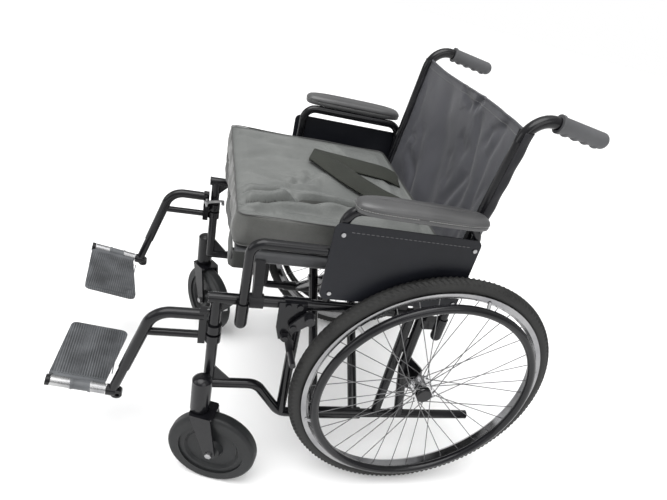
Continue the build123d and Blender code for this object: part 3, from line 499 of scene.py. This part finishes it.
def seat_cushion():
    cx = 0.0
    x0, y0, zb = CU_LO[0], CU_LO[1], SLING_TOP + 0.0006
    x1, y1, zt = CU_HI[0], CU_HI[1], CU_HI[2] - 0.004
    hx, hy, cy = (x1 - x0) / 2 - 0.002, (y1 - y0) / 2 - 0.002, (y0 + y1) / 2
    # perimeter points of a rounded rectangle, evenly spread
    rc = 0.018
    seg = []
    corners = [(hx - rc, hy - rc, 0), (-(hx - rc), hy - rc, 90), (-(hx - rc), -(hy - rc), 180), (hx - rc, -(hy - rc), 270)]
    for k, (ax_, ay_, a0) in enumerate(corners):
        for a in np.linspace(a0, a0 + 90, 12):
            seg.append((ax_ + rc * math.cos(math.radians(a)), ay_ + rc * math.sin(math.radians(a))))
        nx = corners[(k + 1) % 4]
        a2 = math.radians(nx[2])
        p, q = seg[-1], (nx[0] + rc * math.cos(a2), nx[1] + rc * math.sin(a2))
        L = math.hypot(q[0] - p[0], q[1] - p[1])
        nn = int(L / 0.0055)
        for t in np.linspace(0, 1, nn)[1:-1]:
            seg.append((p[0] + (q[0] - p[0]) * t, p[1] + (q[1] - p[1]) * t))
    seg = np.array(seg)
    n = len(seg)
    H = zt - zb
    prof = []  # (scale towards centre, height fraction, kind)
    for s_ in np.linspace(0.02, 0.985, 26):
        prof.append((s_, 0.0, 0))
    for h in np.linspace(0.0, 1.0, 16)[1:-1]:
        prof.append((1.0, h, 1))
    for s_ in np.concatenate([np.linspace(0.988, 0.9, 12), np.linspace(0.89, 0.02, 62)]):
        prof.append((s_, 1.0, 2))
    rings = []
    X = seg[:, 0]; YY = seg[:, 1]
    for s_, h, kind in prof:
        x = X * s_; y = YY * s_
        z = np.full(n, zb + H * h)
        rings.append(np.stack([x, y, z], -1))
    P = np.array(rings)
    kinds = np.array([k for _, _, k in prof])
    S = np.array([s for s, _, _ in prof])[:, None]
    x, y, z = P[..., 0], P[..., 1], P[..., 2]
    hfrac = (z - zb) / H
    # side walls belly out between the two edge seams
    wall = (kinds == 1)[:, None]
    belly = np.where(wall, 0.0055 * np.sin(np.pi * hfrac) + 0.0030 * hnoise(x * 30, y * 30 + z * 60, 1.2) * np.sin(np.pi * hfrac), 0)
    nrm = np.stack([X / hx, YY / hy], -1)
    big = (np.abs(X / hx) > np.abs(YY / hy))
    dx = np.where(big, np.sign(X), 0) * 1.0
    dy = np.where(big, 0, np.sign(YY)) * 1.0
    x = x + belly * dx[None]
    y = y + belly * dy[None]
    # crown of the top panel, soft edges
    top = (kinds == 2)[:, None]
    edge = np.clip((1 - S) * 6.5, 0, 1)
    crown = 0.010 * np.sqrt(edge)
    z = z + np.where(top, crown - 0.0105, 0)
    # long folds of loose cover near the sitter's left edge, as pulled by the arm
    cut = 0
    yp = y + cy
    for pts, dep, wid, rdg in (
        ([(0.180, -0.262), (0.192, -0.186), (0.164, -0.088), (0.156, 0.026), (0.150, 0.140)], 0.0170, 0.0085, 0.62),
        ([(0.150, -0.215), (0.140, -0.160), (0.136, -0.125), (0.152, -0.082), (0.160, 0.010)], 0.0110, 0.0075, 0.70),
        ([(0.206, -0.226), (0.197, -0.149), (0.202, -0.054), (0.195, 0.050)], 0.0034, 0.0060, 0.60),
        ([(0.222, -0.215), (0.216, -0.180), (0.228, -0.140)], 0.0040, 0.0050, 0.60),
        ([(0.071, -0.130), (0.066, -0.065), (0.026, -0.044), (-0.010, -0.040)], 0.0072, 0.0100, 0.50),
        ([(0.120, -0.110), (0.071, -0.085), (0.020, -0.070)], 0.0040, 0.0110, 0.40),
        ([(-0.215, 0.020), (-0.165, 0.045), (-0.110, 0.050)], 0.0070, 0.0090, 0.55),
        ([(-0.020, -0.205), (-0.075, -0.110), (-0.090, -0.030)], 0.0026, 0.0160, 0.40),
        ([(0.030, -0.200), (0.060, -0.130), (0.040, -0.090)], 0.0026, 0.0140, 0.40),
        ([(-0.190, -0.200), (-0.150, -0.120), (-0.160, -0.060)], 0.0022, 0.0160, 0.40),
        ([(0.060, 0.080), (0.110, 0.110), (0.130, 0.170)], 0.0040, 0.0090, 0.60),
        ([(-0.060, 0.130), (0.000, 0.155), (0.070, 0.150)], 0.0034, 0.0090, 0.60),
    ):
        cut = cut + valley(x, yp, pts, dep, wid, rdg, 0.16, 0.15)
    # the cover lies lower between the long crease and the near edge
    xline = np.interp(yp, [-0.26, -0.186, -0.088, 0.026, 0.16], [0.180, 0.192, 0.164, 0.156, 0.150])
    cut = cut - 0.0085 * np.clip((x - xline) / 0.055, 0, 1)
    cut = cut + 0.0020 * np.sin((x * 0.8 + yp * 0.6) * 34 + 1.3) * np.exp(-((x - 0.02) / 0.16) ** 2)
    # rear end rounds down towards the back rest
    cut = cut - 0.010 * np.clip((yp - (cy + hy - 0.05)) / 0.05, 0, 1) ** 2
    z = z + np.where(top, cut * np.clip((1 - S) * 9, 0, 1), 0)
    z = z + np.where(top, 0.0011 * hnoise(x * 26, y * 24, 0.3) + 0.0007 * hnoise(x * 61, y * 55, 2.3), 0) * np.clip((1 - S) * 8, 0, 1)
    # the front wall leans forward at the foot and ripples
    front = wall & (YY < -hy + 0.03)[None]
    y = y + np.where(front, -0.0016 * np.sin(x * 70) * np.sin(np.pi * hfrac) + 0.0012 * np.sin(x * 131 + 1), 0)
    nearside = wall & (X > hx - 0.03)[None]
    x = x + np.where(nearside, 0.0014 * np.sin(y * 46 + 0.6) * np.sin(np.pi * hfrac), 0)
    y = y + cy
    P = np.stack([x, y, z], -1)
    o = grid("seat_cushion_cover", P[:, ::-1], M_SEAT, False, True)
    import bmesh
    bm = bmesh.new(); bm.from_mesh(o.data); bm.verts.ensure_lookup_table()
    k = len(prof)
    bm.faces.new([bm.verts[j] for j in range(n)])
    bm.faces.new([bm.verts[(k - 1) * n + j] for j in range(n)])
    bmesh.ops.recalc_face_normals(bm, faces=bm.faces[:])
    bm.to_mesh(o.data); bm.free()
    # side walls take a darker copy of the seat cloth: painted shade
    o.data.materials.append(M_SEAT_PAINTED_SHADE)
    for p in o.data.polygons:
        c = p.center
        if abs(p.normal.z) < 0.55 and c.z < zb + H * 0.93:
            p.material_index = 1
        p.use_smooth = True
    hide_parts("seat_cushion")
    pipes = []
    for nm, hz, rr in (("top", zt - 0.0040, 0.0011), ("bottom", zb + 0.0035, 0.0013)):
        ring = np.stack([X * 1.003, YY * 1.003 + cy, np.full(n, hz) + 0.0010 * np.sin(YY * 30 + X * 24)], -1)
        p = tube_along("cushion_piping_" + nm, ring[::2], rr, M_PIPE, 8, closed=True)
        pipes.append(p)
    return [o] + pipes


cushion = seat_cushion()


# --------------------------------------------------- seat sling and front flap
def sling():
    lo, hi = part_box("seat_sling")
    nx, ny = 90, 60
    rz = lo[2] - 0.0004 - 0.0111   # seat rail centre height
    # section across the chair: round the near rail, over, round the far rail
    sec = []
    for a in np.linspace(-60, 90, 14):
        r = 0.0111 + 0.0009
        sec.append((0.240 + r * math.cos(math.radians(a)), rz + r * math.sin(math.radians(a))))
    for t in np.linspace(0, 1, 50)[1:-1]:
        sec.append((0.240 - 0.48 * t, rz + 0.0120 - 0.0045 * math.sin(math.pi * t)))
    for a in np.linspace(90, 240, 14):
        r = 0.0111 + 0.0009
        sec.append((-0.240 + r * math.cos(math.radians(a)), rz + r * math.sin(math.radians(a))))
    sec = np.array(sec)
    ys = np.linspace(lo[1] + 0.001, hi[1] - 0.001, ny)
    P = np.zeros((len(sec), ny, 3))
    for j, yv in enumerate(ys):
        P[:, j, 0] = sec[:, 0]
        P[:, j, 1] = yv + 0.001 * np.sin(sec[:, 0] * 40)
        P[:, j, 2] = sec[:, 1] + 0.0007 * np.sin(yv * 90 + sec[:, 0] * 11) * (np.abs(sec[:, 0]) < 0.22)
    o = grid("seat_sling_cloth", P, M_SLING)
    solidify(o, 0.0011)
    apply_mods(o)
    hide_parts("seat_sling")
    # loose front flap that hangs ahead of the rails and turns back at both corners
    na = 110
    path = []
    for t in np.linspace(0, 1, 12)[:-1]:
        path.append((-0.2535, lo[1] + 0.022 - 0.016 * t))
    for a_ in np.linspace(180, 270, 8)[:-1]:
        path.append((-0.2475 + 0.006 * math.cos(math.radians(a_)), lo[1] + 0.004 + 0.006 * math.sin(math.radians(a_))))
    for t in np.linspace(0, 1, na)[1:-1]:
        path.append((-0.2475 + 0.495 * t, lo[1] - 0.002))
    for a_ in np.linspace(270, 360, 8)[1:]:
        path.append((0.2475 + 0.006 * math.cos(math.radians(a_)), lo[1] + 0.004 + 0.006 * math.sin(math.radians(a_))))
    for t in np.linspace(0, 1, 12)[1:]:
        path.append((0.2535, lo[1] + 0.006 + 0.016 * t))
    path = np.array(path)
    nz = 22
    Zg = np.linspace(0, 1, nz)[None, :] * np.ones((len(path), 1))
    Xg = path[:, :1] * np.ones((1, nz))
    Yg = path[:, 1:] * np.ones((1, nz))
    drop = 0.030 + 0.004 * np.sin(Xg * 9) + 0.003 * np.sin(Xg * 31 + 1)
    out = (np.abs(Xg) < 0.246)
    yf = Yg - np.where(out, (0.0030 * np.sin(Zg * 2.2) * (1 + 0.9 * np.sin(Xg * 34 + 0.7)) + 0.0010 * np.sin(Xg * 88) * Zg), 0)
    zf = lo[2] + 0.001 - drop * Zg
    fl = grid("seat_front_flap", np.stack([Xg, yf, zf], -1), M_FLAP)
    solidify(fl, 0.0012)
    apply_mods(fl)
    return o, fl


sling_o, flap_o = sling()

# ----------------------------------------------------------- back upholstery
CANE = [(-0.018, 0.600), (0.0138, 0.900)]


def cane_y(z):
    z = np.asarray(z, float)
    k = (0.022 + 0.012) / (0.914 - 0.592)
    return np.where(z > 0.592, -0.012 + (z - 0.592) * k, -0.012 - (0.592 - z) * 0.42)


Z_BOT, Z_TOP = 0.570, 0.886


def back_panel():
    nx, nz = 220, 130
    xs = np.linspace(-0.2565, 0.2565, nx)
    zs = np.linspace(Z_BOT, Z_TOP, nz)
    Xg, Zg = np.meshgrid(xs, zs, indexing="ij")
    t = (Zg - Z_BOT) / (Z_TOP - Z_BOT)
    e = 1 - (np.abs(Xg) / 0.2565) ** 2.2
    # front faces of the sleeves at the edges, sagging back towards the middle
    yy = cane_y(Zg) + 0.0035 + e * (0.006 + 0.014 * np.sin(np.pi * t))
    for pts, dep, wid, rdg in (
        ([(-0.130, 0.905), (-0.095, 0.800), (-0.030, 0.690), (0.030, 0.560)], 0.0105, 0.0200, 0.70),
        ([(0.061, 0.885), (0.090, 0.815), (0.119, 0.745), (0.085, 0.680), (0.061, 0.600)], 0.0080, 0.0090, 0.90),
        ([(0.072, 0.890), (0.045, 0.868), (0.028, 0.850)], 0.0075, 0.0055, 0.90),
        ([(-0.050, 0.888), (-0.020, 0.872), (0.012, 0.858), (0.010, 0.835)], 0.0060, 0.0060, 0.80),
        ([(0.232, 0.895), (0.190, 0.860), (0.175, 0.800), (0.190, 0.700), (0.180, 0.610)], 0.0062, 0.0080, 0.80),
        ([(0.205, 0.880), (0.150, 0.845), (0.135, 0.800)], 0.0048, 0.0060, 0.80),
        ([(0.222, 0.780), (0.205, 0.700), (0.215, 0.600)], 0.0040, 0.0070, 0.70),
        ([(0.150, 0.760), (0.140, 0.690), (0.110, 0.620)], 0.0046, 0.0075, 0.80),
        ([(-0.215, 0.700), (-0.190, 0.670), (-0.130, 0.640), (-0.075, 0.575)], 0.0064, 0.0080, 0.80),
        ([(-0.235, 0.705), (-0.205, 0.712), (-0.180, 0.690)], 0.0040, 0.0060, 0.80),
        ([(-0.180, 0.760), (-0.150, 0.690), (-0.110, 0.600)], 0.0040, 0.0120, 0.60),
        ([(0.010, 0.800), (0.060, 0.770), (0.085, 0.800)], 0.0046, 0.0085, 0.80),
        ([(-0.010, 0.760), (0.020, 0.700), (0.070, 0.690)], 0.0044, 0.0100, 0.70),
        ([(-0.240, 0.860), (-0.225, 0.760), (-0.235, 0.640)], 0.0030, 0.0070, 0.60),
    ):
        yy = yy - valley(Xg, Zg, pts, dep * 0.75, wid * 1.7, rdg * 0.26, 0.24, 0.10)
    yy = yy + 0.0012 * hnoise(Xg * 30, Zg * 26, 0.8)
    zz = Zg + 0.0035 * np.sin(Xg * 13 + 0.5) * t ** 6 - 0.004 * (1 - (Xg / 0.2565) ** 2) * t ** 8
    o = grid("back_cloth", np.stack([Xg, Y(yy), zz], -1), M_BACK)
    solidify(o, 0.0022)
    apply_mods(o)
    # top hem: a doubled band with one row of stitches; a bottom hem as well
    hems = []
    for k, (zc, r) in enumerate(((Z_TOP - 0.0015, 0.0026), (Z_BOT + 0.0015, 0.0024))):
        i = -1 if k == 0 else 0
        line = np.stack([Xg[:, i], Y(yy[:, i]), zz[:, i]], -1)
        hems.append(tube_along("back_hem_%d" % k, line, r, M_BACK, 8))
    dash_v, dash_f = [], []
    def dashes(idx, side_off):
        for a in range(2, nx - 3, 2):
            p = np.array([Xg[a, idx], Y(yy[a, idx]) - 0.0018, zz[a, idx]])
            q = np.array([Xg[a + 1, idx], Y(yy[a + 1, idx]) - 0.0018, zz[a + 1, idx]])
            q = p + (q - p) * 0.9
            b = len(dash_v)
            for w in (p, q):
                dash_v.extend([w + np.array([0, 0, 0.0005]), w + np.array([0, -0.0006, 0]), w + np.array([0, 0, -0.0005])])
            dash_f.extend([(b, b + 1, b + 4, b + 3), (b + 1, b + 2, b + 5, b + 4), (b, b + 3, b + 5, b + 2), (b, b + 2, b + 1), (b + 3, b + 4, b + 5)])
    dashes(nz - 7, 0)
    st = mesh_obj("back_top_stitches", dash_v, dash_f, M_THREAD, False)
    # sleeves round the canes, slightly puckered
    sleeves = []
    for g, body in ((1, "left_frame"), (-1, "right_frame")):
        nzs, na = 90, 30
        zz2 = np.linspace(Z_BOT + 0.004, Z_TOP - 0.002, nzs)
        an = np.linspace(-0.62 * np.pi, 0.62 * np.pi, na)     # round the rear of the cane only
        Zs, As = np.meshgrid(zz2, an, indexing="ij")
        bulge = np.exp(-((As - g * 0.35) / 0.6) ** 2)
        r = 0.0124 + 0.0050 * bulge + 0.0007 * np.sin(Zs * 120 + As * 2)
        px = g * 0.269 + r * np.sin(As)
        py = cane_y(Zs) + r * np.cos(As)
        sl = grid("back_sleeve_" + ("left" if g > 0 else "right"), np.stack([px, Y(py), Zs], -1), M_SLEEVE)
        solidify(sl, 0.0009, 0.0)
        apply_mods(sl)
        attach(sl, body)
        sleeves.append(sl)
    return o, hems, st, sleeves


back_o, hems, stitches, sleeves = back_panel()
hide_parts("back_upholstery")
for p in [back_o, stitches] + hems:
    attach(p, "left_frame")
    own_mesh(p)


# ------------------------------------------------------------------ lap belt
def ribbon(name, pts, width, mat, thick=0.0016, twist=None, side=None):
    """Flat webbing along points; side gives the width direction at each point."""
    P = np.array(pts, float)
    # resample
    d = np.concatenate([[0], np.cumsum(np.linalg.norm(np.diff(P, axis=0), axis=1))])
    n = max(int(d[-1] / 0.006), 8)
    u = np.linspace(0, d[-1], n)
    # Catmull-Rom like smoothing with numpy interpolation of a dense spline
    Q = np.stack([np.interp(u, d, P[:, k]) for k in range(3)], -1)
    for _ in range(6):
        Q[1:-1] = (Q[:-2] + 2 * Q[1:-1] + Q[2:]) / 4
    Sd = np.array(side, float)
    W = np.stack([np.interp(u, d, Sd[:, k]) for k in range(3)], -1)
    W /= np.linalg.norm(W, axis=1)[:, None]
    m = 9
    v = np.linspace(-0.5, 0.5, m)
    G = Q[:, None, :] + W[:, None, :] * (v * width)[None, :, None]
    o = grid(name, G, mat)
    solidify(o, thick)
    apply_mods(o)
    return o


ZB = CU_HI[2] + 0.0008
belt1 = ribbon("lap_belt_run_a", [(-0.052, 0.182, ZB - 0.010), (-0.058, 0.150, ZB - 0.0005), (-0.074, 0.070, ZB + 0.0012), (-0.090, 0.000, ZB + 0.0012), (-0.097, -0.028, ZB + 0.0018)], 0.090, M_WEB,
               side=[(1, -0.18, 0), (1, -0.18, 0), (1, -0.12, 0), (1, -0.28, 0), (1, -0.32, 0)])
belt2 = ribbon("lap_belt_run_b", [(-0.097, -0.029, ZB + 0.0034), (-0.070, -0.008, ZB + 0.0040), (-0.018, 0.022, ZB + 0.0040), (0.030, 0.050, ZB + 0.0028), (0.080, 0.088, ZB + 0.0012), (0.122, 0.140, ZB - 0.0010), (0.140, 0.176, ZB - 0.010)], 0.074, M_WEB,
               side=[(1, -0.32, 0), (0.80, -0.52, 0), (0.52, -0.80, 0), (0.54, -0.84, 0), (0.66, -0.70, 0), (0.86, -0.45, 0), (0.92, -0.3, 0)])
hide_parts("lap_belt")

# strap that hangs under the seat near the scissor brace
strap = ribbon("under_seat_strap", [(-0.128, -0.020, 0.566), (-0.127, -0.024, 0.530), (-0.124, -0.030, 0.495), (-0.120, -0.034, 0.468)], 0.034, M_STRAP,
               side=[(0.9, 0.35, 0), (0.9, 0.4, 0), (0.9, 0.42, 0.1), (0.9, 0.45, 0.15)])

for o in cushion + [sling_o, flap_o, belt1, belt2, strap]:
    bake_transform(o)

# --------------------------------------------- small trim on the arm panels
def panel_line(side):
    g = 1 if side == "left" else -1
    v, f = [], []
    for k in range(26):
        y0 = Y(-0.252 + k * 0.0092)
        y1 = y0 + 0.0058
        z = 0.6665
        x0, x1 = g * 0.3036, g * 0.3041
        b = len(v)
        for xx in (x0, x1):
            v += [(xx, y0, z - 0.0006), (xx, y1, z - 0.0006), (xx, y1, z + 0.0006), (xx, y0, z + 0.0006)]
        f += [(b + 4, b + 5, b + 6, b + 7), (b, b + 3, b + 2, b + 1), (b, b + 1, b + 5, b + 4), (b + 1, b + 2, b + 6, b + 5), (b + 2, b + 3, b + 7, b + 6), (b + 3, b, b + 4, b + 7)]
    o = mesh_obj("panel_beading_" + side, v, f, M_LINE, False)
    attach(o, side + "_arm")


for s in ("left", "right"):
    panel_line(s)

# -------------------------------------------------------------- floor, lights
def white(name, v, rough=0.9):
    m, nt, b, co = new_mat(name)
    f = noise(nt, co, 2.0, 2)
    nt.links.new(ramp(nt, f, [(0.2, (v, v, v)), (0.8, (v * 0.995, v * 0.995, v * 0.995))]), b.inputs["Base Color"])
    b.inputs["Roughness"].default_value = rough
    b.inputs["Specular IOR Level"].default_value = 0.1
    return m


bpy.ops.mesh.primitive_plane_add(size=30, location=(0, 0, -0.0005))
floor = bpy.context.object
floor.name = "floor"
floor.data.materials.append(white("floor_white", 0.93))

w = bpy.data.worlds.new("studio")
sc.world = w
w.use_nodes = True
wt = w.node_tree
bg = wt.nodes["Background"]
tcw = wt.nodes.new("ShaderNodeTexCoord")
spw = wt.nodes.new("ShaderNodeSeparateXYZ")
wt.links.new(tcw.outputs["Generated"], spw.inputs[0])
rw = wt.nodes.new("ShaderNodeValToRGB")
el = rw.color_ramp.elements
while len(el) < 6:
    el.new(0.5)
for e_, (p_, v_) in zip(el, ((0.0, 0.10), (0.50, 0.22), (0.56, 0.62), (0.70, 0.50), (0.80, 0.85), (1.0, 0.70))):
    e_.position = p_
    e_.color = (v_, v_, v_, 1)
mw = wt.nodes.new("ShaderNodeMath")
mw.operation = "MULTIPLY_ADD"
mw.inputs[1].default_value = 0.5
mw.inputs[2].default_value = 0.5
wt.links.new(spw.outputs[2], mw.inputs[0])
wt.links.new(mw.outputs[0], rw.inputs[0])
lp = wt.nodes.new("ShaderNodeLightPath")
mxw = wt.nodes.new("ShaderNodeMix")
mxw.data_type = "RGBA"
wt.links.new(lp.outputs["Is Camera Ray"], mxw.inputs["Factor"])
wt.links.new(rw.outputs[0], mxw.inputs[6])
mxw.inputs[7].default_value = (1, 1, 1, 1)
wt.links.new(mxw.outputs[2], bg.inputs[0])
bg.inputs[1].default_value = 1.0


def area(name, loc, target, size, power, color=(1, 1, 1)):
    l = bpy.data.lights.new(name, "AREA")
    l.shape = "RECTANGLE"
    l.size, l.size_y = size
    l.energy = power
    l.color = color
    o = bpy.data.objects.new(name, l)
    sc.collection.objects.link(o)
    o.location = loc
    d = Vector(target) - Vector(loc)
    o.rotation_euler = d.to_track_quat("-Z", "Y").to_euler()
    return o


sun_d = bpy.data.lights.new("soft_sun", "SUN")
sun_d.energy = 2.3
sun_d.angle = 0.9
sun = bpy.data.objects.new("soft_sun", sun_d)
sc.collection.objects.link(sun)
sun.rotation_euler = (Vector((-0.25, 0.30, -1.0))).to_track_quat("-Z", "Y").to_euler()
area("key_top", (0.3, -0.2, 3.0), (0, 0, 0.4), (2.6, 2.6), 22)
area("left_soft", (2.6, 0.6, 1.9), (0, 0, 0.5), (1.6, 1.8), 16)
area("front_soft", (0.2, -3.0, 1.6), (0, 0, 0.5), (2.0, 1.4), 16)

# --------------------------------------------------------------------- camera
cam_d = bpy.data.cameras.new("camera")
cam = bpy.data.objects.new("camera", cam_d)
sc.collection.objects.link(cam)
R0 = Vector((0.20673373, 0.94799754, 0.24199551))
R1 = Vector((0.6189556, 0.0648334, -0.78274555))
R2 = Vector((-0.75773025, 0.31160438, -0.57336514))
M = Matrix.Identity(4)
for i in range(3):
    M[i][0], M[i][1], M[i][2] = R0[i], -R1[i], -R2[i]
M[0][3], M[1][3], M[2][3] = 1.11386, Y(-0.51976), 1.07155
cam.matrix_world = M
cam_d.sensor_width = 36
cam_d.sensor_fit = "HORIZONTAL"
cam_d.lens = 28.322
cam_d.shift_x = -0.03777
cam_d.shift_y = 0.11526
cam_d.clip_start = 0.05
cam_d.clip_end = 60
sc.camera = cam
sc.view_settings.view_transform = "Standard"
